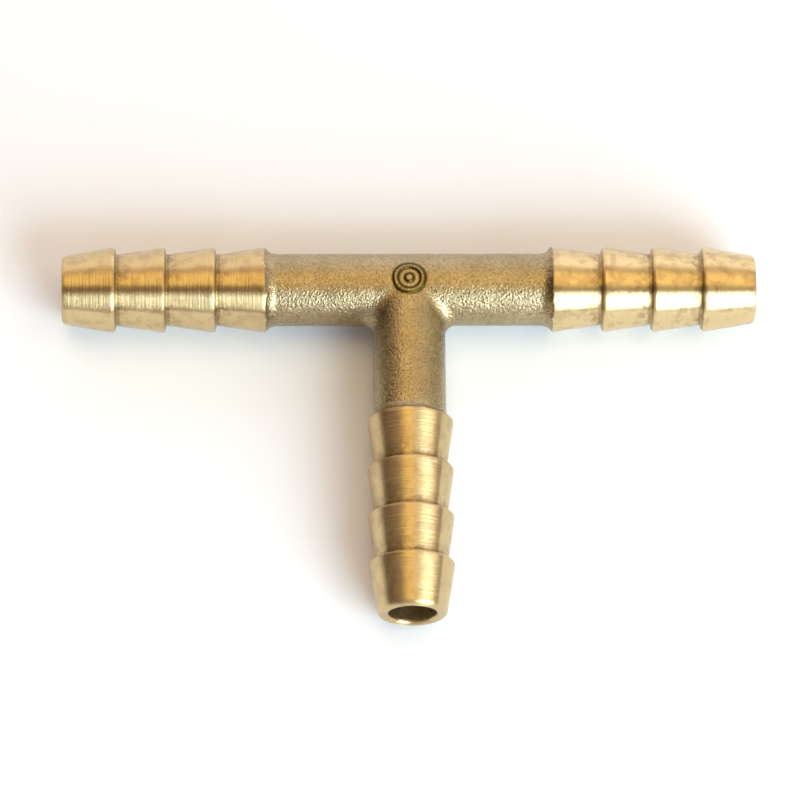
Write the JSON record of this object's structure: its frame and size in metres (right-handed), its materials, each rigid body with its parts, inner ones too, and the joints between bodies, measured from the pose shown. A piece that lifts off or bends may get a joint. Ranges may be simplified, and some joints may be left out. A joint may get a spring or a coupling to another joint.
{
  "type": "barbed tee connector",
  "caption": "Brass tee that joins a branch hose to a run of hose at right angles; each arm is a barbed tail with a through bore.",
  "frame": {"origin": "where the run's axis and the branch's axis cross", "axes": "+X along the run towards the right tail, -Y along the branch towards its tip, +Z square to both"},
  "size_m": [0.0624, 0.035, 0.0076],
  "materials": {
    "forged_brass": "shot-blasted",
    "turned_brass": "turned"
  },
  "bodies": {
    "root": {"forged_body": "forged_brass", "left_hose_tail": "turned_brass", "right_hose_tail": "turned_brass", "branch_hose_tail": "turned_brass"}
  },
  "joints": []
}
